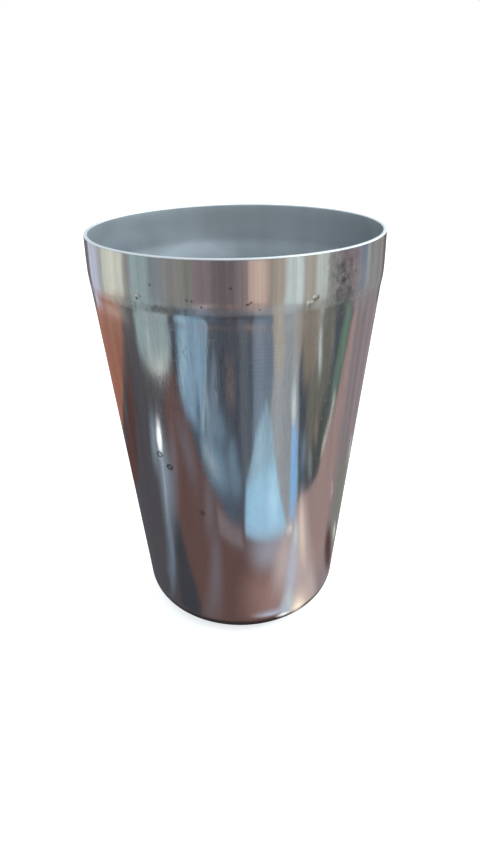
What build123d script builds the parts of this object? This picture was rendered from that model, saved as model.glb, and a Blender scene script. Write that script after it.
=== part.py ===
from build123d import *
import os

# Deep drawn cup: one piece of sheet metal with a flat floor, a tapered wall,
# a small shoulder and a straight band at the mouth, trimmed to a plain rim.
# The origin is the centre of the foot, and +Z runs up the axis to the mouth.

# Driving dimensions, in millimetres
rim_diameter = 80.0      # outside of the straight band
cup_height = 117.0       # foot to rim
sheet = 1.0              # metal thickness, the same all over
band_height = 12.0       # straight band, from the rim down to the shoulder
shoulder_height = 0.8    # height over which the band draws in to the tapered wall
shoulder_draw = 0.4      # how far in the wall stands below the shoulder
shoulder_bend = 1.8      # outside bend radius at both ends of the shoulder
foot_diameter = 58.4     # where the tapered wall would meet the ground with a sharp corner
corner_radius = 9.0      # outside radius from the floor to the wall
rim_break = 0.3          # both edges of the trimmed rim are broken by this much


def outside_line():
    # The drawn shape as one line: floor, corner, tapered wall, shoulder and band
    rim_radius = rim_diameter / 2
    band_foot = cup_height - band_height
    wall_top = band_foot - shoulder_height
    corners = [
        (0, 0),
        (foot_diameter / 2, 0),
        (rim_radius - shoulder_draw, wall_top),
        (rim_radius, band_foot),
        (rim_radius, cup_height),
    ]
    return FilletPolyline(*corners, radius=[corner_radius, shoulder_bend, shoulder_bend])


def sheet_section():
    # The line thickened inwards by the sheet, with the rim's two edges broken
    with BuildSketch(Plane.XZ) as section:
        with BuildLine():
            drawn = outside_line()
            offset(drawn, amount=sheet, side=Side.LEFT)
        make_face()
        rim_corners = section.vertices().group_by(Axis.Y)[-1]
        chamfer(rim_corners, length=rim_break)
    return section.sketch


def drawn_cup():
    with BuildPart() as cup:
        add(sheet_section())
        revolve(axis=Axis.Z)
    cup.part.label = "drawn_cup"
    return cup.part


os.makedirs("parts", exist_ok=True)
export_step(drawn_cup(), "parts/drawn_cup.step")
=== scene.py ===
import math
import bpy
from mathutils import Matrix, Vector


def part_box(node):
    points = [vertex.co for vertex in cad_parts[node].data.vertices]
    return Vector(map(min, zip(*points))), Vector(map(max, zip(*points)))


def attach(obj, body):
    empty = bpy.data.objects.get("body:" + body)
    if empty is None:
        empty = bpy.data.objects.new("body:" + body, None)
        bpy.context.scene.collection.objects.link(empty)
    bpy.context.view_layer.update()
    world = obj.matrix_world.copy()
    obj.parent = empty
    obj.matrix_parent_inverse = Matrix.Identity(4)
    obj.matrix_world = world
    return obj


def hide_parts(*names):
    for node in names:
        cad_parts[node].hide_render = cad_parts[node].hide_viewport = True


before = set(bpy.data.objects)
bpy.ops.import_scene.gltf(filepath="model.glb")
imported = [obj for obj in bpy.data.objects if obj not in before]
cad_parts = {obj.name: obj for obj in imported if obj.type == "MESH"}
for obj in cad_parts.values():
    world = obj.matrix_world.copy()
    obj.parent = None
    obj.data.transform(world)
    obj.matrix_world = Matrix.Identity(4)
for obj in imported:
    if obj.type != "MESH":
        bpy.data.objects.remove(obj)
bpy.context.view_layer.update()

mm = 0.001
tiny = 0.02 * mm
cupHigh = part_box("drawn_cup")[1]      # the rim's radius along x, the height along z


# Small helpers for modelling and for nodes

def startClean():
    if bpy.context.object and bpy.context.object.mode != "OBJECT":
        bpy.ops.object.mode_set(mode="OBJECT")
    bpy.ops.object.select_all(action="DESELECT")


def reach(point):
    return math.hypot(point.x, point.y)


def smoothStep(value, low, high):
    share = min(1.0, max(0.0, (value - low) / (high - low)))
    return share * share * (3 - 2 * share)


def pickEdges(obj, test):
    # select the edges whose two ends pass the test together
    bpy.ops.mesh.select_all(action="DESELECT")
    bpy.ops.object.mode_set(mode="OBJECT")
    verts = obj.data.vertices
    for edge in obj.data.edges:
        edge.select = test(verts[edge.vertices[0]].co, verts[edge.vertices[1]].co)
    bpy.ops.object.mode_set(mode="EDIT")


def addNode(tree, kind, values=None, **settings):
    node = tree.nodes.new(kind)
    for name, value in settings.items():
        setattr(node, name, value)
    for socket, value in (values or {}).items():
        node.inputs[socket].default_value = value
    return node


def plug(tree, source, target, socket):
    # the source is a node, for its first output, or one of its sockets
    output = source if isinstance(source, bpy.types.NodeSocket) else source.outputs[0]
    tree.links.new(output, target.inputs[socket])


def mathNode(tree, operation, *items):
    node = addNode(tree, "ShaderNodeMath", operation=operation)
    for index, item in enumerate(items):
        if isinstance(item, (int, float)):
            node.inputs[index].default_value = item
        else:
            plug(tree, item, node, index)
    return node


def addUp(tree, items):
    total = items[0]
    for item in items[1:]:
        total = mathNode(tree, "ADD", total, item)
    return total


def ramp(tree, source, low, high, bottom=0.0, top=1.0):
    values = {"From Min": low, "From Max": high, "To Min": bottom, "To Max": top}
    node = addNode(tree, "ShaderNodeMapRange", values, interpolation_type="SMOOTHSTEP")
    plug(tree, source, node, "Value")
    return node


def stretchedNoise(tree, place, stretch, detail, shift=(0, 0, 0)):
    # noise with its own scale along x, y and z, in features per metre
    mapping = addNode(tree, "ShaderNodeMapping", {"Scale": stretch, "Location": shift})
    plug(tree, place, mapping, "Vector")
    noise = addNode(tree, "ShaderNodeTexNoise", {"Scale": 1.0, "Detail": detail})
    plug(tree, mapping, noise, "Vector")
    return noise


def blendColour(tree, share, first, second):
    node = addNode(tree, "ShaderNodeMix", data_type="RGBA")
    plug(tree, share, node, 0)
    for socket, colour in ((6, first), (7, second)):
        if isinstance(colour, tuple):
            node.inputs[socket].default_value = colour
        else:
            plug(tree, colour, node, socket)
    return node.outputs[2]


def distanceTo(tree, place, centre):
    away = addNode(tree, "ShaderNodeVectorMath", {1: centre}, operation="DISTANCE")
    plug(tree, place, away, 0)
    return away.outputs["Value"]


def newFinish(name):
    finish = bpy.data.materials.new(name)
    finish.use_nodes = True
    return finish, finish.node_tree, finish.node_tree.nodes["Principled BSDF"]


def linear(seen):
    # a colour as the eye reads it, 0 to 255, as the linear colour that the nodes take
    shares = [value / 255 for value in seen]
    return [s / 12.92 if s < 0.04045 else ((s + 0.055) / 1.055) ** 2.4 for s in shares]


# The cup, drawn up from a circle at its foot

drawnCup = {
    "segments": 384,
    "footRadius": 29.2 * mm,      # where the wall would meet the ground with a sharp corner
    "cornerRadius": 9.0 * mm,
    "cornerSteps": 16,
    "bandHeight": 12.0 * mm,
    "creaseHeight": 9.8 * mm,     # below the rim, where the band starts to lean in
    "creaseLean": 0.07 * mm,
    "creaseBend": 12.0 * mm,
    "shoulderHeight": 2.4 * mm,
    "shoulderDraw": 0.56 * mm,
    "shoulderBend": 8.0 * mm,
    "shoulderSteps": 4,
    "sheet": 1.0 * mm,
    "rimRound": 0.28 * mm,
    "rimSteps": 4,
    "rimHold": 0.18 * mm,         # a ring just under the rounding keeps the band straight up to it
    "outerWallCuts": 76,
    "innerWallCuts": 24,
    "bandCuts": 8,
    "wallFace": (50 * mm, 120 * mm),       # heights of the faces that are cut, on the wall and on the band
    "bandFace": (6 * mm, 12 * mm),
    "bandAbove": 100 * mm,
    "floorRings": (14 * mm, 6 * mm, 2 * mm),
}


def extrudeRing(radiusNow, radiusNext, rise):
    bpy.ops.mesh.extrude_edges_move(TRANSFORM_OT_translate={"value": (0, 0, rise)})
    grow = radiusNext / radiusNow
    bpy.ops.transform.resize(value=(grow, grow, 1))


def bevelLoops(cup, height, offset, steps, leastRadius):
    # round the rings of edges that lie at this height
    def onRing(a, b):
        level = abs(a.z - height) < tiny and abs(b.z - height) < tiny
        return level and abs(reach(a) - reach(b)) < tiny and reach(a) > leastRadius
    pickEdges(cup, onRing)
    bpy.ops.mesh.bevel(offset=offset, offset_type="OFFSET", segments=steps, profile=0.5, affect="EDGES")


def cutTallFaces(cup):
    # put level rings into the long faces of the wall and of the band
    size = drawnCup
    slope = (cupHigh.x - size["shoulderDraw"] - size["footRadius"]) / cupHigh.z

    def tall(a, b, limits):
        return limits[0] < abs(a.z - b.z) < limits[1]

    def outside(a, b):
        middle = (a + b) / 2
        return reach(middle) > size["footRadius"] + slope * middle.z - size["sheet"] / 2

    pickEdges(cup, lambda a, b: tall(a, b, size["wallFace"]) and outside(a, b))
    bpy.ops.mesh.subdivide(number_cuts=size["outerWallCuts"])
    pickEdges(cup, lambda a, b: tall(a, b, size["wallFace"]))
    bpy.ops.mesh.subdivide(number_cuts=size["innerWallCuts"])
    pickEdges(cup, lambda a, b: tall(a, b, size["bandFace"]) and min(a.z, b.z) > size["bandAbove"])
    bpy.ops.mesh.subdivide(number_cuts=size["bandCuts"])


def makeCup():
    size = drawnCup
    rimRadius = cupHigh.x
    height = cupHigh.z
    bandFoot = height - size["bandHeight"]
    wallTop = bandFoot - size["shoulderHeight"]
    wallTopRadius = rimRadius - size["shoulderDraw"]
    footRadius = size["footRadius"]

    startClean()
    bpy.ops.mesh.primitive_circle_add(vertices=size["segments"], radius=footRadius, fill_type="NOTHING")
    cup = bpy.context.object
    cup.name = "drawnCupShell"
    bpy.ops.object.mode_set(mode="EDIT")
    bpy.ops.mesh.select_mode(type="EDGE")
    bpy.ops.mesh.select_all(action="SELECT")
    extrudeRing(footRadius, wallTopRadius, wallTop)
    bandFootRadius = rimRadius - size["creaseLean"]
    crease = height - size["creaseHeight"]
    extrudeRing(wallTopRadius, bandFootRadius, size["shoulderHeight"])
    extrudeRing(bandFootRadius, rimRadius, crease - bandFoot)
    extrudeRing(rimRadius, rimRadius, size["creaseHeight"])

    # the floor, in rings to a closed centre
    pickEdges(cup, lambda a, b: max(a.z, b.z) < tiny)
    ringRadius = footRadius
    for nextRadius in size["floorRings"]:
        extrudeRing(ringRadius, nextRadius, 0)
        ringRadius = nextRadius
    bpy.ops.mesh.edge_face_add()
    bpy.ops.mesh.poke()

    # bends: the foot corner, then both ends of the shoulder
    lean = math.atan2(wallTopRadius - footRadius, wallTop)
    shoulderLean = math.atan2(bandFootRadius - wallTopRadius, size["shoulderHeight"])
    creaseLean = math.atan2(size["creaseLean"], crease - bandFoot)
    cornerReach = size["cornerRadius"] * math.tan((math.pi / 2 - lean) / 2)
    bevelLoops(cup, 0, cornerReach, size["cornerSteps"], footRadius - tiny)
    bends = [
        (wallTop, size["shoulderBend"], shoulderLean - lean),
        (bandFoot, size["shoulderBend"], shoulderLean - creaseLean),
        (crease, size["creaseBend"], creaseLean),
    ]
    for level, radius, turn in bends:
        bevelLoops(cup, level, radius * math.tan(turn / 2), size["shoulderSteps"], footRadius)

    # wall thickness, inwards from the drawn line
    bpy.ops.mesh.select_all(action="SELECT")
    bpy.ops.mesh.remove_doubles(threshold=tiny / 10)
    bpy.ops.mesh.normals_make_consistent(inside=False)
    bpy.ops.object.mode_set(mode="OBJECT")
    wall = cup.modifiers.new("sheet", "SOLIDIFY")
    wall.thickness = size["sheet"]
    wall.offset = -1
    wall.use_even_offset = True
    wall.use_quality_normals = True
    bpy.ops.object.modifier_apply(modifier=wall.name)

    # the trimmed rim is rounded on both edges
    bpy.ops.object.mode_set(mode="EDIT")
    bevelLoops(cup, height, size["rimRound"], size["rimSteps"], footRadius)
    bpy.ops.mesh.select_all(action="SELECT")
    rimRing = Vector((0, 0, height - size["rimRound"] - size["rimHold"]))
    bpy.ops.mesh.bisect(plane_co=rimRing, plane_no=(0, 0, 1), threshold=tiny / 10)
    cutTallFaces(cup)
    bpy.ops.object.mode_set(mode="OBJECT")
    bpy.ops.object.shade_smooth()
    print("cup shell:", len(cup.data.vertices), "points,", len(cup.data.polygons), "faces")
    return cup


cup = makeCup()


# Unevenness from drawing and handling, always into the metal: cloud size, depth, and the heights it covers

unevenness = {
    "wallWaves": {"cloud": 22 * mm, "depth": 0.06 * mm, "from": 4 * mm, "full": 14 * mm, "fade": 98 * mm,
                  "to": 104 * mm},
    "shoulderPuckers": {"cloud": 4.5 * mm, "depth": 0.09 * mm, "from": 100 * mm, "full": 103.6 * mm,
                        "fade": 105.2 * mm, "to": 108 * mm},
    "rimWaver": {"cloud": 9 * mm, "depth": 0.06 * mm, "from": 116.2 * mm, "full": 116.9 * mm,
                 "fade": 118 * mm, "to": 120 * mm},
}

# the band runs into the wall without a sharp step, softest inside and on both sides of the front
softShoulder = {
    "inner": {"from": 96 * mm, "full": 99 * mm, "fade": 109 * mm, "to": 112 * mm, "passes": 120},
    "outer": {"from": 100.5 * mm, "full": 102.5 * mm, "fade": 107 * mm, "to": 110 * mm, "passes": 40},
    "outerLeft": {"from": 99 * mm, "full": 102.5 * mm, "fade": 107.5 * mm, "to": 111 * mm, "passes": 60,
                  "turn": -52, "turnReach": 36},       # degrees from the camera's side towards +X
    "outerRight": {"from": 99 * mm, "full": 102.5 * mm, "fade": 107.5 * mm, "to": 111 * mm, "passes": 90,
                   "turn": 40, "turnReach": 36},
}


def isInside(point):
    # nearer to the inner side of the sheet than to the outer one
    bandFoot = cupHigh.z - drawnCup["bandHeight"]
    footRadius = drawnCup["footRadius"]
    wallRadius = footRadius + (cupHigh.x - footRadius) * min(1.0, point.z / bandFoot)
    return reach(point) < wallRadius - drawnCup["sheet"] / 2


def heightShare(height, form):
    # 0 outside the form's heights, 1 between full and fade
    rise = smoothStep(height, form["from"], form["full"])
    return rise * (1 - smoothStep(height, form["fade"], form["to"]))


def turnShare(point, form):
    # 1 near the form's own turn, fading out at its reach; a form without a turn goes all round
    if "turn" not in form:
        return 1.0
    turn = math.degrees(math.atan2(point.x, -point.y))
    return 1 - smoothStep(abs(turn - form["turn"]), form["turnReach"] / 2, form["turnReach"])


def applyModifier(cup, modifier):
    startClean()
    cup.select_set(True)
    bpy.context.view_layer.objects.active = cup
    bpy.ops.object.modifier_apply(modifier=modifier.name)


def softenShoulder(cup):
    for side, form in softShoulder.items():
        group = cup.vertex_groups.new(name=side + "Shoulder")
        for vert in cup.data.vertices:
            if isInside(vert.co) == (side == "inner"):
                share = heightShare(vert.co.z, form) * turnShare(vert.co, form)
                group.add([vert.index], share, "REPLACE")
        soften = cup.modifiers.new(group.name, "SMOOTH")
        soften.factor = 0.5
        soften.iterations = form["passes"]
        soften.vertex_group = group.name
        applyModifier(cup, soften)
    print("softer shoulder:", ", ".join(softShoulder))


def addUnevenness(cup):
    for name, form in unevenness.items():
        group = cup.vertex_groups.new(name=name)
        for vert in cup.data.vertices:
            group.add([vert.index], heightShare(vert.co.z, form), "REPLACE")
        cloud = bpy.data.textures.new(name, "CLOUDS")
        cloud.noise_scale = form["cloud"]
        cloud.noise_depth = 2
        dent = cup.modifiers.new(name, "DISPLACE")
        dent.texture = cloud
        dent.texture_coords = "LOCAL"
        dent.vertex_group = group.name
        dent.mid_level = 0
        dent.strength = -form["depth"]
        applyModifier(cup, dent)
    print("uneven surface:", ", ".join(unevenness))


softenShoulder(cup)
addUnevenness(cup)


# Marks on the outside, at their places on the real cup, in millimetres and degrees:
# three numbers are x, y and z, and two are turn and height

cupMarks = {
    "stainRings": [(-21.2, -28.7, 63.3), (-18.6, -30.0, 60.1)],
    "stainDot": (-10.3, -32.5, 47.0),
    "stainRadius": 0.8,
    "bandSmudges": [(38.0, 113.0), (38.8, 107.0)],
    "bandSmudgeReach": 7.0,
    "pits": [(-56.3, 103.6), (-38.4, 104.5), (-29.3, 110.4), (-16.2, 107.6), (-14.5, 107.4), (-11.4, 106.1),
             (-1.8, 110.5), (3.2, 106.7), (3.9, 106.8), (4.7, 107.2), (7.4, 105.4)],
    "pitRadius": 0.28,
    "beads": [(27.1, 107.0), (24.8, 105.6), (-34.8, 107.2)],
    "beadReach": 1.1,
    "beadHeight": 0.11,
    "specks": [(31.8, 84.5), (37.6, 83.5), (36.6, 78.6), (35.6, 73.5), (32.0, 59.1), (33.2, 57.0),
               (50.0, 47.6)],
    "speckReach": 0.45,
    "speckHeight": 0.06,
    "scuffs": [(-31.0, 85.0), (-25.5, 86.5), (-20.8, 94.5), (-6.0, 96.0), (-4.0, 91.0), (-5.0, 85.0)],
    "scuffReach": 5.5,
    "polishPatches": [(8.6, 97.0), (7.3, 91.0)],
    "polishReach": 11.0,
    # painted shade on the step under the band: a shadow line at its foot, and a smear
    "stepShadeLine": [(-9, 104.0), (-2, 104.0), (5, 104.0)],
    "stepShadeLineReach": 7.0,
    "stepShadeSmears": [(-27, 105.0), (-21, 104.9), (-16, 104.9)],
    "stepShadeSmearReach": 5.5,
    "hazes": [(-28.5, -28.3, 105.5), (-20.0, -34.6, 105.5), (25.5, -30.6, 109.5),
              (31.5, -24.6, 108.0)],        # places that are rubbed dull
    "hazeReach": 9.0,
}


def onOutside(turn, height):
    # a place on the outside, by degrees from the camera's side towards +X and millimetres above the foot
    wallTop = cupHigh.z - drawnCup["bandHeight"]
    share = min(1.0, height * mm / wallTop)
    radius = drawnCup["footRadius"] + share * (cupHigh.x - drawnCup["footRadius"])
    angle = math.radians(turn)
    return Vector((radius * math.sin(angle), -radius * math.cos(angle), height * mm))


def spots(tree, place, centres, radius, soft):
    # 1 inside any of the spots, fading out over the soft width
    masks = []
    for centre in centres:
        masks.append(ramp(tree, distanceTo(tree, place, centre), radius - soft, radius + soft, 1.0, 0.0))
    return addUp(tree, masks)


def patchesAt(tree, place, turnsAndHeights, size):
    # soft patches on the outside, full at their middles
    centres = [onOutside(turn, height) for turn, height in turnsAndHeights]
    return spots(tree, place, centres, size * mm / 2, size * mm / 2)


def rings(tree, place, centres, radius, width):
    masks = []
    for centre in centres:
        offRing = mathNode(tree, "SUBTRACT", distanceTo(tree, place, centre), radius)
        masks.append(ramp(tree, mathNode(tree, "ABSOLUTE", offRing), 0.0, width, 1.0, 0.0))
    return addUp(tree, masks)


def wobbled(tree, place, size, amount):
    # the same coordinates, shaken a little so that marks lose their drawn outlines
    noise = addNode(tree, "ShaderNodeTexNoise", {"Scale": 1 / size, "Detail": 3.0})
    plug(tree, place, noise, "Vector")
    centred = addNode(tree, "ShaderNodeVectorMath", {1: (0.5, 0.5, 0.5)}, operation="SUBTRACT")
    plug(tree, noise.outputs["Color"], centred, 0)
    scaled = addNode(tree, "ShaderNodeVectorMath", {"Scale": amount}, operation="SCALE")
    plug(tree, centred, scaled, 0)
    shaken = addNode(tree, "ShaderNodeVectorMath", operation="ADD")
    plug(tree, place, shaken, 0)
    plug(tree, scaled, shaken, 1)
    return shaken.outputs[0]


def upToOne(tree, source):
    return mathNode(tree, "MINIMUM", source, 1.0)


def heightOf(tree, place):
    split = addNode(tree, "ShaderNodeSeparateXYZ")
    plug(tree, place, split, 0)
    return split.outputs["Z"]


def levelBelt(tree, height, belt):
    # 1 round the cup between the middle two of the belt's heights, fading out to the outer two
    low, full, fade, high = [level * mm for level in belt]
    rise = ramp(tree, height, low, full)
    fall = ramp(tree, height, fade, high, 1.0, 0.0)
    return mathNode(tree, "MULTIPLY", rise, fall)


# Dirt on the outside, and painted shade in the step under the band: the share of each kind, and how its
# outline and grain run

dirtAndShadeShares = {
    "ringShare": 0.75,
    "ringWidth": 0.5 * mm,
    "fillShare": 0.35,
    "fillSoft": 0.3 * mm,
    "dotShare": 0.55,
    "dotSoft": 0.7 * mm,
    "pitShare": 0.8,
    "pitSoft": 0.25 * mm,
    "smudgeShares": (0.12, 0.85),
    "scuffShare": 0.36,
    # painted shade in the step under the band, and a painted shadow line at its foot
    "stepShadeShare": 0.06,
    "stepShadeGrainShare": 0.4,
    "stepShadeLineShare": 0.38,
    "stepShadeSmearShare": 0.4,
    "veilShare": 0.03,
    "mostShare": 0.92,
    "stainShake": (1.3 * mm, 0.7 * mm),         # size and amount of the shaking of an outline
    "pitShake": (0.5 * mm, 0.6 * mm),
    "smudgeShake": (5 * mm, 6 * mm),
    "grain": ((820, 820, 460), 4.0),            # noise: scales along x, y and z, detail, shift
    "grainSpread": (0.42, 0.66),
    "blotches": ((560, 560, 480), 4.0, (2.3, 0.8, 1.1)),
    "blotchSpread": (0.36, 0.64),
    "scratches": ((1500, 1500, 260), 3.0, (1.7, 0.2, 3.3)),
    "scratchSpread": (0.5, 0.66),
    "stepShadeParts": ((48, 48, 30), 2.0, (0.4, 2.2, 0.9)),
    "stepShadeSpread": (0.42, 0.6),
}


def outsideDirtAndShade(tree, place, step, stepFoot):
    # how dirty each point of the outside is, with the painted shade in the step under the band, from 0 to 1
    marks = cupMarks
    darkening = dirtAndShadeShares
    shaken = wobbled(tree, place, *darkening["stainShake"])
    stainRadius = marks["stainRadius"] * mm
    ringCentres = [Vector(c) * mm for c in marks["stainRings"]]
    pitPlaces = [onOutside(turn, level) for turn, level in marks["pits"]]
    stains = rings(tree, shaken, ringCentres, stainRadius, darkening["ringWidth"])
    fills = spots(tree, shaken, ringCentres, stainRadius, darkening["fillSoft"])
    dot = spots(tree, shaken, [Vector(marks["stainDot"]) * mm], stainRadius, darkening["dotSoft"])
    finely = wobbled(tree, place, *darkening["pitShake"])
    pits = spots(tree, finely, pitPlaces, marks["pitRadius"] * mm, darkening["pitSoft"])

    # the blotchy smudge on the band, and scratches in the scuffs
    patches = ramp(tree, stretchedNoise(tree, place, *darkening["grain"]), *darkening["grainSpread"])
    rough = wobbled(tree, place, *darkening["smudgeShake"])
    smudge = patchesAt(tree, rough, marks["bandSmudges"], marks["bandSmudgeReach"])
    blotches = stretchedNoise(tree, place, *darkening["blotches"])
    blotches = ramp(tree, blotches, *darkening["blotchSpread"], *darkening["smudgeShares"])
    scuffed = upToOne(tree, patchesAt(tree, rough, marks["scuffs"], marks["scuffReach"]))
    scratches = stretchedNoise(tree, place, *darkening["scratches"])
    scratches = ramp(tree, scratches, *darkening["scratchSpread"], 0.0, darkening["scuffShare"])

    # painted shade in the step under the band, uneven, with a smear on it and a painted shadow line at its
    # foot
    shadedParts = ramp(tree, stretchedNoise(tree, place, *darkening["stepShadeParts"]), *darkening["stepShadeSpread"])
    grainy = mathNode(tree, "MULTIPLY_ADD", patches, darkening["stepShadeGrainShare"], darkening["stepShadeShare"])
    shadeSmears = upToOne(tree, patchesAt(tree, place, marks["stepShadeSmears"], marks["stepShadeSmearReach"]))
    stepShade = mathNode(tree, "MULTIPLY", shadedParts, grainy)
    stepShade = mathNode(tree, "MULTIPLY_ADD", shadeSmears, darkening["stepShadeSmearShare"], stepShade)
    # the painted shadow line at the foot of the step
    line = upToOne(tree, patchesAt(tree, place, marks["stepShadeLine"], marks["stepShadeLineReach"]))
    line = mathNode(tree, "MULTIPLY", line, mathNode(tree, "MULTIPLY", stepFoot, darkening["stepShadeLineShare"]))

    parts = [
        mathNode(tree, "MULTIPLY", stains, darkening["ringShare"]),
        mathNode(tree, "MULTIPLY", fills, darkening["fillShare"]),
        mathNode(tree, "MULTIPLY", dot, darkening["dotShare"]),
        mathNode(tree, "MULTIPLY", pits, darkening["pitShare"]),
        mathNode(tree, "MULTIPLY", smudge, blotches),
        mathNode(tree, "MULTIPLY", scuffed, scratches),
        # painted shade in the step, with its painted shadow line
        mathNode(tree, "MULTIPLY_ADD", stepShade, step, line),
        mathNode(tree, "MULTIPLY", patches, darkening["veilShare"]),      # a thin veil all over
    ]
    return mathNode(tree, "MINIMUM", addUp(tree, parts), darkening["mostShare"])


# Bright steel outside

brightSteel = {
    "colour": (0.66, 0.655, 0.65, 1.0),
    "markLight": (0.69, 0.685, 0.68, 1.0),
    "markDark": (0.625, 0.62, 0.615, 1.0),
    "markSpread": (0.36, 0.64),
    # the colour of the dirt, and of the painted shade in the step under the band
    "dirtAndShade": (0.13, 0.125, 0.115, 1.0),
    # a painted highlight: the rim's rounded top is paler than the rest of the steel
    "paintedRimHighlight": (0.78, 0.79, 0.81, 1.0),
    "edgeFrom": 116.6 * mm,
    "edgeFull": 116.8 * mm,
    "roughness": 0.085,
    "smudgeRoughness": 0.06,
    "smudgeSpread": (0.46, 0.72),
    "hairRoughness": 0.05,
    "hairWidth": (0.002, 0.008),
    "dirtAndShadeRoughness": 0.10,
    "stepRoughness": 0.09,
    "upperRoughness": 0.035,                 # the upper wall is a little duller
    "upperFrom": 60 * mm,
    "upperFull": 98 * mm,
    "edgeRoughness": 0.26,
    "hazeRoughness": 0.07,
    "hazeShake": (4 * mm, 5 * mm),
    "anisotropy": 0.6,
    "anisotropyTurn": 0.25,
    "drawMarks": ((1900, 1900, 13), 3.0),    # noise: scales along x, y and z, detail, shift
    "polishLines": ((26, 26, 2600), 3.0),
    "hairlines": ((75, 75, 620), 2.0, (3.1, 0.7, 1.9)),
    "smudges": ((48, 48, 30), 5.0),
    "drawMarkShare": 0.65,
    "polishShare": 0.35,
    "drawMarkDepth": 0.0042 * mm,
    "polishDepth": 0.0006 * mm,
    "smoothBelow": 40 * mm,                  # draw marks fade out towards the foot
    "markedAbove": 72 * mm,
    "footMarks": 0.3,
    "scuffMarks": 1.3,                       # how much stronger draw marks are in a scuff
    "polishPlain": 0.25,                     # polishing lines all over, and more in polished patches
    "polishPatch": 1.8,
    "stepBelt": (103.4, 104.4, 105.2, 106.4),        # heights of the step and of its foot, millimetres
    "stepFootBelt": (102.8, 103.5, 103.9, 104.6),
}


def fadedMarks(tree, noise, share):
    # the noise about its middle value, taken down to this share
    centred = mathNode(tree, "SUBTRACT", noise, 0.5)
    return mathNode(tree, "MULTIPLY_ADD", centred, share, 0.5)


def makeBrightSteel():
    look = brightSteel
    marks = cupMarks
    steel, tree, shader = newFinish("brightDrawnSteel")
    place = addNode(tree, "ShaderNodeTexCoord").outputs["Object"]
    height = heightOf(tree, place)
    step = levelBelt(tree, height, look["stepBelt"])
    dirtAndShade = outsideDirtAndShade(tree, place, step, levelBelt(tree, height, look["stepFootBelt"]))

    # colour: upright draw marks and level polishing lines over the plain steel, then the dirt and the
    # painted shade
    drawNoise = stretchedNoise(tree, place, *look["drawMarks"])
    worn = ramp(tree, height, look["smoothBelow"], look["markedAbove"], look["footMarks"], 1.0)
    scuffed = patchesAt(tree, place, marks["scuffs"], marks["scuffReach"])
    scuffed = mathNode(tree, "MULTIPLY_ADD", scuffed, look["scuffMarks"], worn)
    drawMarks = fadedMarks(tree, drawNoise, scuffed)
    polishNoise = stretchedNoise(tree, place, *look["polishLines"])
    polished = patchesAt(tree, place, marks["polishPatches"], marks["polishReach"])
    polished = mathNode(tree, "MULTIPLY_ADD", polished, look["polishPatch"], look["polishPlain"])
    polish = fadedMarks(tree, polishNoise, polished)
    drawLines = mathNode(tree, "MULTIPLY", drawMarks, look["drawMarkShare"])
    lines = mathNode(tree, "MULTIPLY_ADD", polish, look["polishShare"], drawLines)
    metal = blendColour(tree, ramp(tree, lines, *look["markSpread"]), look["markDark"], look["markLight"])
    # the paler top of the rim is a painted highlight
    edge = ramp(tree, height, look["edgeFrom"], look["edgeFull"])
    metal = blendColour(tree, edge, metal, look["paintedRimHighlight"])
    plug(tree, blendColour(tree, dirtAndShade, metal, look["dirtAndShade"]), shader, "Base Color")
    shader.inputs["Metallic"].default_value = 1.0

    # gloss: a clean polish, duller where it was handled and where the dirt and the painted shade sit
    smudges = stretchedNoise(tree, place, *look["smudges"])
    handled = look["roughness"] + look["smudgeRoughness"]
    hairNoise = stretchedNoise(tree, place, *look["hairlines"])
    offLine = mathNode(tree, "ABSOLUTE", mathNode(tree, "SUBTRACT", hairNoise, 0.5))
    rough = wobbled(tree, place, *look["hazeShake"])
    hazePlaces = [Vector(c) * mm for c in marks["hazes"]]
    hazeReach = marks["hazeReach"] * mm / 2
    hazes = spots(tree, rough, hazePlaces, hazeReach, hazeReach)
    glosses = [
        ramp(tree, smudges, *look["smudgeSpread"], look["roughness"], handled),
        ramp(tree, offLine, *look["hairWidth"], look["hairRoughness"], 0.0),
        mathNode(tree, "MULTIPLY", dirtAndShade, look["dirtAndShadeRoughness"]),
        mathNode(tree, "MULTIPLY", step, look["stepRoughness"]),
        ramp(tree, height, look["upperFrom"], look["upperFull"], 0.0, look["upperRoughness"]),
        mathNode(tree, "MULTIPLY", edge, look["edgeRoughness"]),
        mathNode(tree, "MULTIPLY", hazes, look["hazeRoughness"]),
    ]
    plug(tree, addUp(tree, glosses), shader, "Roughness")
    shader.inputs["Anisotropic"].default_value = look["anisotropy"]
    shader.inputs["Anisotropic Rotation"].default_value = look["anisotropyTurn"]
    plug(tree, addNode(tree, "ShaderNodeTangent", direction_type="RADIAL", axis="Z"), shader, "Tangent")

    # relief: draw marks, polishing lines, and the small beads and specks
    reliefs = [
        (drawMarks, look["drawMarkDepth"]),
        (polish, look["polishDepth"]),
        (patchesAt(tree, place, marks["beads"], marks["beadReach"]), marks["beadHeight"] * mm),
        (patchesAt(tree, place, marks["specks"], marks["speckReach"]), marks["speckHeight"] * mm),
    ]
    below = None
    for form, depth in reliefs:
        bump = addNode(tree, "ShaderNodeBump", {"Strength": 1.0, "Distance": depth})
        plug(tree, form, bump, "Height")
        if below:
            plug(tree, below, bump, "Normal")
        below = bump
    plug(tree, below, shader, "Normal")
    return steel


# Dull steel inside

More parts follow.
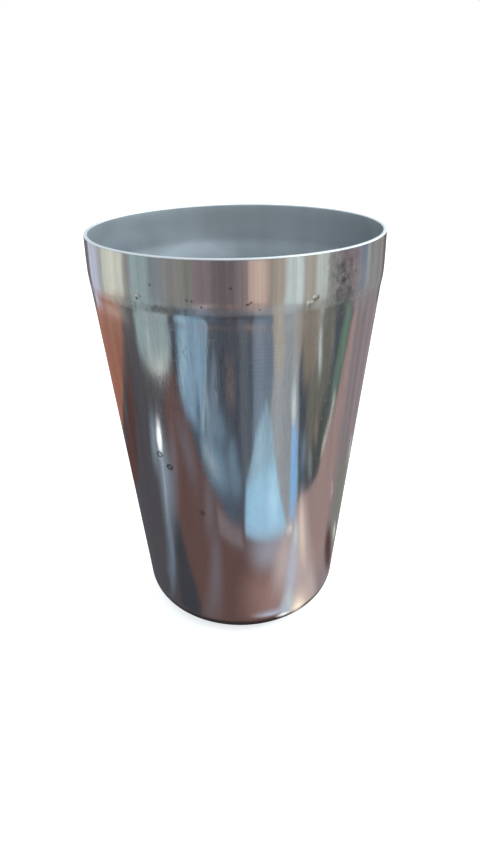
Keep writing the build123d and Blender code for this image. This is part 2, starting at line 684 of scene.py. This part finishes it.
dullSteel = {
    "light": (0.54, 0.575, 0.60, 1.0),
    "dark": (0.455, 0.485, 0.51, 1.0),
    "toneSpread": (0.34, 0.66),
    "paintedLightPatch": (0.66, 0.71, 0.75, 1.0),         # painted light: a paler patch below the band, places in millimetres
    "paintedLightPlaces": [(-34, 19, 103), (-17, 35, 96), (-9.5, 37.3, 95.5)],
    "paintedLightReach": 11.0,
    "paintedLightSoft": 4.5,
    "rimShade": (0.40, 0.43, 0.455, 1.0),       # painted shade: a little darker towards the rim
    "rimShadeShare": 0.5,
    "upperFrom": 106 * mm,
    "upperFull": 113 * mm,
    "roughLow": 0.44,
    "roughHigh": 0.56,
    "roughSpread": (0.35, 0.65),
    "rings": ((16, 16, 1500), 3.0),          # noise: scales along x, y and z, detail
    "streaks": ((130, 130, 5), 3.0),
    "clouds": ((38, 38, 38), 4.0),
    "ringShare": 0.16,
    "streakShare": 0.46,
    "cloudShare": 0.38,
    "ringDepth": 0.0012 * mm,
}


def makeDullSteel():
    look = dullSteel
    steel, tree, shader = newFinish("dullInnerSteel")
    place = addNode(tree, "ShaderNodeTexCoord").outputs["Object"]
    levelRings = stretchedNoise(tree, place, *look["rings"])
    streaks = stretchedNoise(tree, place, *look["streaks"])
    clouds = stretchedNoise(tree, place, *look["clouds"])
    shares = [(levelRings, "ringShare"), (streaks, "streakShare"), (clouds, "cloudShare")]
    mixed = addUp(tree, [mathNode(tree, "MULTIPLY", noise, look[share]) for noise, share in shares])
    plain = blendColour(tree, ramp(tree, mixed, *look["toneSpread"]), look["dark"], look["light"])
    height = heightOf(tree, place)
    # painted shade on the inner wall towards the rim
    rimShade = ramp(tree, height, look["upperFrom"], look["upperFull"], 0.0, look["rimShadeShare"])
    shaded = blendColour(tree, rimShade, plain, look["rimShade"])
    # a patch of painted light on the inner wall below the band
    paintedLightPlaces = [Vector(c) * mm for c in look["paintedLightPlaces"]]
    paintedLightPatch = upToOne(tree, spots(tree, place, paintedLightPlaces, look["paintedLightReach"] * mm, look["paintedLightSoft"] * mm))
    plug(tree, blendColour(tree, paintedLightPatch, shaded, look["paintedLightPatch"]), shader, "Base Color")
    rough = ramp(tree, clouds, *look["roughSpread"], look["roughLow"], look["roughHigh"])
    plug(tree, rough, shader, "Roughness")
    shader.inputs["Metallic"].default_value = 1.0
    bump = addNode(tree, "ShaderNodeBump", {"Strength": 1.0, "Distance": look["ringDepth"]})
    plug(tree, levelRings, bump, "Height")
    plug(tree, bump, shader, "Normal")
    return steel


def giveFinishes(cup):
    for finish in (makeBrightSteel(), makeDullSteel()):
        cup.data.materials.append(finish)
    rimFoot = cupHigh.z - drawnCup["rimRound"]
    for face in cup.data.polygons:
        outward = face.normal.x * face.center.x + face.normal.y * face.center.y
        inner = outward < 0 and face.center.z < rimFoot
        innerFloor = face.normal.z > 0.5 and face.center.z < cupHigh.z / 2      # looks up, and lies low
        face.material_index = 1 if inner or innerFloor else 0


giveFinishes(cup)
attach(cup, "root")
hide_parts("drawn_cup")
print("finishes on:", ", ".join(finish.name for finish in cup.data.materials))


# Studio: pale floor, soft sky, and coloured cards that only the bright steel mirrors

# the cards' colours as the eye reads them in the steel, 0 to 255
palette = {
    "terracotta": (140, 95, 80),
    "salmon": (212, 152, 132),
    "russet": (80, 59, 56),
    "rust": (93, 71, 68),
    "umber": (73, 71, 75),
    "mauve": (128, 117, 120),
    "blush": (148, 127, 124),
    "clay": (142, 112, 105),
    "dusk": (118, 106, 109),
    "twilight": (150, 147, 157),
    "sky": (150, 192, 218),
    "azure": (128, 174, 218),
    "haze": (144, 172, 188),
    "paleBlue": (112, 138, 158),
    "wash": (121, 148, 169),
    "deepBlue": (66, 83, 99),
    "greyBlue": (106, 119, 134),
    "slate": (64, 70, 80),
    "ash": (86, 93, 102),
    "pewter": (146, 148, 150),
    "tan": (151, 141, 131),
    "brown": (122, 113, 103),
    "olive": (98, 97, 90),
    "sage": (116, 117, 110),
    "moss": (70, 76, 74),
    "leaf": (94, 118, 104),
    "cream": (196, 198, 186),
    "peach": (214, 194, 182),
    "rosy": (182, 166, 164),
    "lavender": (176, 180, 196),
    "greyGreen": (138, 155, 158),
    "stone": (128, 127, 126),
    "plum": (98, 90, 92),
    "rose": (184, 162, 151),
    "mist": (188, 199, 199),
    "shade": (44, 40, 42),
    "glow": (255, 238, 218),
    "white": (252, 253, 255),
    "dove": (144, 149, 153),
    "steel": (104, 126, 143),
    "pitch": (58, 60, 66),
    "sand": (156, 150, 140),
    "driftwood": (140, 132, 122),
    "pearl": (206, 211, 206),
    "iceBlue": (174, 212, 234),
    "heather": (105, 96, 101),
    "fog": (122, 134, 146),
    "silver": (142, 157, 168),
    "spark": (330, 335, 340),
    "seal": (118, 126, 130),
    "willow": (176, 183, 177),
}

# flat cards: colour, soft edge and corners, in millimetres, x to the right and y away from the camera
flatCards = [
    ("shade", 100, [(-6000, -6000), (6000, -6000), (6000, 6000), (-6000, 6000)]),
    ("mauve", 100, [(-1500, -1500), (1500, -1500), (1500, 1500), (-1500, 1500)]),
    ("umber", 20, [(-700, -330), (-150, -135), (0, -60), (0, 130), (-85, 125), (-270, 42), (-700, -140)]),
    ("russet", 26, [(-230, 30), (-150, 62), (-60, 100), (-40, 60), (-80, 32), (-160, 14)]),
    ("terracotta", 9, [(-85, 100), (-270, 18), (-700, -170), (-700, 700), (-60, 700), (-30, 125)]),
    ("salmon", 16, [(-272, 60), (-300, 30), (-700, -120), (-700, 700), (-240, 700), (-258, 180)]),
    ("rust", 14, [(-16, -14), (-60, -30), (-105, -46), (-138, -62), (-156, -98), (-152, -135), (-100, -124),
                  (-50, -108), (0, -94), (50, -68), (66, -40), (60, -20), (25, 0)]),
    ("dusk", 7, [(-34, -84), (2, -77), (5, -64), (-24, -68)]),
    ("blush", 14, [(36, -24), (52, -50), (72, -66), (116, -44), (160, -20), (300, 40), (290, 80), (100, 20),
                   (34, -2)]),
    ("slate", 4, [(-330, -200), (-150, -118), (-100, -106), (-50, -90), (0, -75), (48, -53), (68, -51),
                  (92, -30), (114, -23), (150, -4), (200, 15), (330, 70), (330, -330), (-330, -330)]),
    ("greyGreen", 7, [(-300, -48), (-240, -28), (-209, -28), (-188, -46), (-168, -73), (-155, -94),
                      (-150, -115), (-155, -136), (-180, -150), (-300, -150)]),
    ("cream", 5, [(-196, -54), (-186, -50), (-166, -78), (-153, -100), (-158, -120), (-176, -90)]),
    ("wash", 10, [(-172, -166), (-126, -111), (-98, -104), (-58, -112), (-70, -150), (-92, -250),
                  (-200, -250)]),
    ("haze", 12, [(-126, -116), (-106, -114), (-118, -160), (-142, -188), (-152, -172)]),
    ("haze", 4, [(-68, -116), (-60, -114), (-83, -222), (-93, -222)]),
    ("greyBlue", 8, [(-64, -110), (-42, -106), (-38, -150), (-50, -190), (-68, -190)]),
    ("plum", 10, [(-30, -146), (-2, -146), (-2, -190), (-32, -190)]),
    ("ash", 8, [(2, -94), (24, -106), (30, -160), (38, -262), (6, -262), (-2, -140)]),
    ("greyBlue", 7, [(16, -106), (35, -120), (60, -132), (76, -146), (98, -200), (116, -262), (46, -262),
                     (28, -160)]),
    ("dove", 5, [(36, -54), (58, -44), (86, -64), (116, -98), (160, -150), (210, -235), (112, -262),
                 (94, -200), (74, -152), (52, -130), (40, -95)]),
    ("sand", 9, [(82, -152), (100, -138), (136, -190), (152, -250), (110, -262)]),
    ("driftwood", 9, [(134, -136), (164, -126), (236, -190), (256, -250), (196, -240)]),
    ("olive", 10, [(78, -48), (170, -30), (310, -60), (260, -120), (124, -92), (98, -72)]),
    ("brown", 12, [(122, -98), (190, -70), (256, -112), (214, -184), (160, -144)]),
    ("mist", 5, [(88, -92), (106, -97), (126, -124), (106, -122)]),
    ("mist", 4, [(160, -72), (176, -68), (216, -98), (202, -106)]),
    ("deepBlue", 6, [(62, -51), (82, -50), (108, -80), (96, -84)]),
    ("azure", 4, [(48, -54), (58, -49), (76, -62), (99, -86), (101, -96), (91, -99), (66, -72)]),
    ("haze", 4, [(3, -72), (48.5, -51.5), (54, -86), (62, -118), (60, -146), (28, -126), (8, -100)]),
    ("sky", 3, [(3, -72), (22, -64), (48.5, -51.5), (54, -85), (56, -99), (30, -101), (7, -99)]),
    ("white", 2, [(43, -53), (50, -48), (53, -52), (47, -55)]),
    ("moss", 7, [(74, -52), (94, -30), (116, -23), (172, -18), (170, -44), (104, -58)]),
    ("leaf", 10, [(140, -14), (200, 15), (290, 45), (290, -4), (225, -22), (160, -30)]),
    ("cream", 4, [(98, -31), (118, -22), (140, -12), (164, -4), (164, -14), (138, -21), (116, -30)]),
    ("ash", 6, [(-112, -46), (-84, -38), (-62, -30), (-42, -24), (-28, -19), (-42, -12), (-62, -16),
                (-112, -28)]),
    ("pitch", 10, [(-72, -44), (-45, -41), (-30, -39), (-20, -35), (-14, -32), (-12, -24), (-26, -20),
                   (-40, -23), (-66, -33)]),
]

# soft round glows over them: colour, centre, half length and half width in millimetres, turn in degrees,
# and for some the share that is covered in full
glowCards = [
    ("terracotta", (-20, 380), (260, 130), 85),
    ("salmon", (-245, 420), (300, 90), 88),
    ("umber", (-6, 85), (60, 26), 92),
    ("sage", (70, 34), (62, 26), 27, 0.3),
    ("russet", (48, 3), (20, 9), 4, 0.3),
    ("cream", (50, 17), (9, 4.5), 19),
    ("rose", (84, 8), (9, 4), 5),
    ("mist", (81, 74), (20, 6), 42),
    ("russet", (-104, 72), (46, 20), -20),
    ("clay", (16, -40), (26, 20), 40),
    ("rosy", (42, -34), (38, 22), -45),
    ("heather", (-86, -86), (44, 16), 15),
    ("heather", (-96, -62), (40, 12), 33),
    ("steel", (-40, -130), (34, 20), 15),
    ("paleBlue", (-38, -104), (46, 20), 15),
    ("steel", (-11, -113), (15, 20), 0),
    ("steel", (-4, -100), (12, 14), 0),
    ("silver", (-46, -103), (26, 9), 15),
    ("silver", (-63, -139), (30, 5), 66),
    ("deepBlue", (-78, -127), (26, 7), 58),
    ("deepBlue", (-12, -82), (20, 7), 25),
    ("heather", (-20, -50), (36, 9), 70),
    ("heather", (-38, -75), (24, 10), 63),
    ("pitch", (-152, -138), (34, 8), 62),
    ("mist", (-208, -74), (30, 8), 20),
    ("pearl", (-167, -87), (42, 12), -60),
    ("white", (-161, -84), (9, 5), -60),
    ("fog", (-122, -28), (34, 16), 20),
    ("fog", (-94, -39), (48, 22), 18),
    ("silver", (-92, -34), (48, 5), 18),
    ("greyBlue", (-56, -25), (34, 5), 16),
    ("spark", (-120, -42), (17, 8.5), 20),
    ("iceBlue", (41, -79), (23, 12), -65),
    ("greyBlue", (95, -66), (22, 9), -37),
    ("brown", (120, -50), (20, 8), -23),
    ("sage", (212, -46), (30, 12), -35),
    ("seal", (95, -49), (18, 7), -35),
    ("sand", (150, -138), (26, 9), -43),
    ("twilight", (25, -57), (28, 13), 22),
    ("rosy", (34, -46), (25, 13), -30),
    ("rosy", (56, -38), (34, 14), -32),
    ("rosy", (33, -20), (16, 9), -5),
    ("peach", (57, -39), (28, 6), -38),
    ("lavender", (36, -37), (32, 7), -28),
    ("lavender", (13, -33), (12, 3.5), 20),
    ("peach", (25, -24), (12, 8), -20),
    ("mist", (51, -44), (10, 5), -35),
    ("mist", (21.5, -30), (11, 5), -30),
    ("lavender", (18.5, -30), (7, 4), -50),
    ("shade", (0, 0), (32.5, 32.5), 0, 0.88),
    ("glow", (22.5, -24), (8, 5.5), -25),
    ("white", (15.4, -26.4), (4.4, 3.0), 33),
]

# wedge cards further out: colour and where each begins, in degrees from the camera's side towards +X
wedgeCards = [
    ("plum", -180), ("lavender", -141), ("pewter", -122), ("cream", -115), ("stone", -89),
    ("greyGreen", -82), ("seal", -65), ("stone", -54), ("sage", -40), ("dusk", -32), ("plum", -18),
    ("dusk", -1), ("rose", 7), ("tan", 22), ("mist", 34), ("sand", 47.5), ("willow", 57), ("stone", 68),
    ("dusk", 78), ("mauve", 87), ("greyBlue", 101), ("pewter", 109), ("stone", 115), ("plum", 142),
]

# soft glows over the wedges, which only the shoulder mirrors
farGlows = [
    ("rosy", (-102, -252), (58, 36), -22),
    ("clay", (-19, -272), (60, 36), -4),
    ("clay", (61, -266), (58, 36), 13),
]

cardLayout = {
    "depth": -1.4 * mm,           # just under the floor, which mirror rays pass
    "layer": 0.01 * mm,
    "narrowShare": 0.8,           # the soft edge takes at most this share of a card's half width
    "glowCorners": 28,
    "glowCore": 0.03,
    "wedgeCentre": 50 * mm,
    "wedgeFrom": 286 * mm,
    "wedgeTo": 1500 * mm,
    "wedgeStep": 6,
    "wedgeLap": 2.2,              # degrees each side of its start over which a wedge fades in
    "wedgeSoft": 12 * mm,
    "streaks": 46,                # light and dark streaks around the cup
    "streakDepth": 0.11,
    "streakSpread": (0.3, 0.7),
    "streakFrom": 60 * mm,
    "streakFull": 150 * mm,
}


def makeCardMaterial(name, seen):
    card = bpy.data.materials.new("card_" + name)
    card.use_nodes = True
    tree = card.node_tree
    tree.nodes.clear()
    steel = brightSteel["colour"]
    colour = [value / steel[i] for i, value in enumerate(linear(seen))]
    place = addNode(tree, "ShaderNodeTexCoord").outputs["Object"]

    # streaks that run away from the cup, so that they stand upright in its wall, and fade out near it
    around = addNode(tree, "ShaderNodeTexGradient", gradient_type="RADIAL")
    plug(tree, place, around, 0)
    streaks = addNode(tree, "ShaderNodeTexNoise", {"Scale": 1.0, "Detail": 4.0}, noise_dimensions="1D")
    plug(tree, mathNode(tree, "MULTIPLY", around.outputs["Fac"], cardLayout["streaks"]), streaks, "W")
    depth = cardLayout["streakDepth"]
    away = distanceTo(tree, place, (0, 0, 0))
    share = ramp(tree, away, cardLayout["streakFrom"], cardLayout["streakFull"])
    striped = ramp(tree, streaks, *cardLayout["streakSpread"], -depth, depth)
    strength = mathNode(tree, "MULTIPLY_ADD", striped, share, 1.0)
    glow = addNode(tree, "ShaderNodeEmission", {"Color": (*colour, 1)})
    plug(tree, strength, glow, "Strength")

    # soft edges, by how far the card covers what lies under it
    cover = addNode(tree, "ShaderNodeAttribute", attribute_name="cover")
    clear = addNode(tree, "ShaderNodeBsdfTransparent")
    soft = addNode(tree, "ShaderNodeMixShader")
    plug(tree, ramp(tree, cover.outputs["Fac"], 0.0, 1.0), soft, 0)
    plug(tree, clear, soft, 1)
    plug(tree, glow, soft, 2)
    plug(tree, soft, addNode(tree, "ShaderNodeOutputMaterial"), "Surface")
    card.cycles.emission_sampling = "NONE"
    return card


def cardHeight(level):
    return cardLayout["depth"] + level * cardLayout["layer"]


def newCard(name, points, faces):
    startClean()
    mesh = bpy.data.meshes.new(name)
    mesh.from_pydata(points, [], faces)
    card = bpy.data.objects.new(name, mesh)
    bpy.context.collection.objects.link(card)
    card.select_set(True)
    bpy.context.view_layer.objects.active = card
    return card


def finishCard(card, colour, covers):
    # how far each point covers what lies under it, and only mirror rays see the card
    cover = card.data.attributes.new("cover", "FLOAT", "POINT")
    for index, value in enumerate(covers):
        cover.data[index].value = value
    card.data.materials.append(cardMaterials[colour])
    card.visible_camera = False
    card.visible_diffuse = False
    card.visible_shadow = False


def layFlatCard(name, colour, corners, level, softWidth):
    # an inset face inside the outline: no cover on the outline, full cover inside
    points = [(x * mm, y * mm, cardHeight(level)) for x, y in corners]
    card = newCard(name, points, [range(len(points))])
    outline = [vert.co.copy() for vert in card.data.vertices]
    around = sum((outline[i] - outline[i - 1]).length for i in range(len(outline)))
    widest = cardLayout["narrowShare"] * card.data.polygons[0].area / around
    bpy.ops.object.mode_set(mode="EDIT")
    bpy.ops.mesh.select_all(action="SELECT")
    bpy.ops.mesh.inset(thickness=min(softWidth * mm, widest), use_even_offset=True)
    bpy.ops.object.mode_set(mode="OBJECT")

    def onOutline(point):
        return min((point - corner).length for corner in outline) < tiny
    finishCard(card, colour, [0.0 if onOutline(vert.co) else 1.0 for vert in card.data.vertices])


def layGlowCard(name, colour, centre, halves, turn, core, level):
    # full cover over the core of an oval, fading out to its edge
    startClean()
    bpy.ops.mesh.primitive_circle_add(vertices=cardLayout["glowCorners"], radius=1, fill_type="NGON")
    card = bpy.context.object
    card.name = name
    bpy.ops.object.mode_set(mode="EDIT")
    bpy.ops.mesh.inset(thickness=1 - core, use_even_offset=True)
    bpy.ops.object.mode_set(mode="OBJECT")
    covers = [1.0 if reach(vert.co) < (1 + core) / 2 else 0.0 for vert in card.data.vertices]
    card.scale = (halves[0] * mm, halves[1] * mm, 1)
    card.rotation_euler.z = math.radians(turn)
    card.location = (centre[0] * mm, centre[1] * mm, cardHeight(level))
    bpy.ops.object.transform_apply(location=True, rotation=True, scale=True)
    finishCard(card, colour, covers)


def layGlows(name, glows, level):
    for index, (colour, centre, halves, turn, *core) in enumerate(glows):
        level += 1
        share = core[0] if core else cardLayout["glowCore"]
        layGlowCard(f"{name}{index}", colour, centre, halves, turn, share, level)
    return level


def layWedgeCard(name, colour, start, stop, level):
    # a sector that fades in at its near edge and at its start, and ends under the next one
    lap = cardLayout["wedgeLap"]
    steps = max(1, math.ceil((stop - start) / cardLayout["wedgeStep"]))
    first = start + lap
    turns = [start - lap] + [first + (stop + lap - first) * k / steps for k in range(steps + 1)]
    centre = cardLayout["wedgeCentre"]
    points = []
    covers = []
    for k, turn in enumerate(math.radians(t) for t in turns):
        # the near edge is a circle that is centred behind the cup
        across = centre * math.sin(turn)
        near = math.sqrt(cardLayout["wedgeFrom"] ** 2 - across ** 2) - centre * math.cos(turn)
        for radius in (near, near + cardLayout["wedgeSoft"], cardLayout["wedgeTo"]):
            points.append((radius * math.sin(turn), -radius * math.cos(turn), cardHeight(level)))
            covers.append(0.0 if k == 0 or radius == near else 1.0)
    faces = []
    for k in range(len(turns) - 1):
        for row in (3 * k, 3 * k + 1):
            faces.append((row, row + 1, row + 4, row + 3))
    finishCard(newCard(name, points, faces), colour, covers)


cardMaterials = {name: makeCardMaterial(name, seen) for name, seen in palette.items()}
level = 0
for index, (colour, softWidth, corners) in enumerate(flatCards):
    level += 1
    layFlatCard(f"flatCard{index}", colour, corners, level, softWidth)
level = layGlows("glowCard", glowCards, level)
for index, (colour, start) in enumerate(wedgeCards):
    level += 1
    stop = wedgeCards[index + 1][1] if index + 1 < len(wedgeCards) else 180
    layWedgeCard(f"wedgeCard{index}", colour, start, stop, level)
level = layGlows("farGlow", farGlows, level)
print("cards laid:", level)


studio = {
    "skyBright": (1.8, 2.0, 2.08, 1),
    "skyDim": (0.8, 0.89, 0.94, 1),
    "brightSide": (0.9, 0.1, 0.42),      # the direction that the sky is brightest in
    "skySpread": (0.2, 1.0),
    "floorColour": (0.86, 0.86, 0.86, 1),
    "floorRoughness": 0.9,
    "floorLift": 0.55,
    "floorSize": 40.0,
}


def makeFloor():
    startClean()
    bpy.ops.mesh.primitive_plane_add(size=studio["floorSize"])
    floor = bpy.context.object
    floor.name = "paleFloor"
    paint, _, shader = newFinish("paleFloor")
    shader.inputs["Base Color"].default_value = studio["floorColour"]
    shader.inputs["Roughness"].default_value = studio["floorRoughness"]
    shader.inputs["Specular IOR Level"].default_value = 0.0
    shader.inputs["Emission Color"].default_value = (1, 1, 1, 1)
    shader.inputs["Emission Strength"].default_value = studio["floorLift"]
    floor.data.materials.append(paint)
    floor.visible_glossy = False
    floor.visible_shadow = False


def makeSky():
    sky = bpy.data.worlds.new("softSky")
    bpy.context.scene.world = sky
    sky.use_nodes = True
    tree = sky.node_tree
    tree.nodes.clear()
    path = addNode(tree, "ShaderNodeLightPath")
    plain = addNode(tree, "ShaderNodeBackground", {"Color": (1, 1, 1, 1)})
    soft = addNode(tree, "ShaderNodeBackground")
    towards = addNode(tree, "ShaderNodeVectorMath", {1: studio["brightSide"]}, operation="DOT_PRODUCT")
    plug(tree, addNode(tree, "ShaderNodeTexCoord").outputs["Generated"], towards, 0)
    side = ramp(tree, towards.outputs["Value"], *studio["skySpread"])
    plug(tree, blendColour(tree, side, studio["skyDim"], studio["skyBright"]), soft, "Color")
    pick = addNode(tree, "ShaderNodeMixShader")
    plug(tree, path.outputs["Is Camera Ray"], pick, 0)
    plug(tree, soft, pick, 1)
    plug(tree, plain, pick, 2)
    plug(tree, pick, addNode(tree, "ShaderNodeOutputWorld"), "Surface")


makeFloor()
makeSky()


# Camera, fitted to the cup's outline in the frame of 480 by 853

photoCamera = {
    "place": (0.0, -0.18646, 0.14905),
    "pitch": 0.4585,
    "yaw": 0.0018,
    "roll": -0.0184,
    "focalPixels": 677.0,
    "longSide": 853,
    "sensor": 36.0,
    "clipStart": 0.01,
}


def makeCamera():
    data = bpy.data.cameras.new("photoCamera")
    data.sensor_width = photoCamera["sensor"]
    data.lens = photoCamera["focalPixels"] * photoCamera["sensor"] / photoCamera["longSide"]
    data.clip_start = photoCamera["clipStart"]
    camera = bpy.data.objects.new("photoCamera", data)
    bpy.context.collection.objects.link(camera)
    turn = Matrix.Rotation(-photoCamera["yaw"], 4, "Z")
    tilt = Matrix.Rotation(math.pi / 2 - photoCamera["pitch"], 4, "X")
    roll = Matrix.Rotation(photoCamera["roll"], 4, "Z")
    camera.matrix_world = Matrix.Translation(photoCamera["place"]) @ turn @ tilt @ roll
    bpy.context.scene.camera = camera


makeCamera()
bpy.context.scene.view_settings.view_transform = "Standard"
print("studio set: floor, sky and camera")
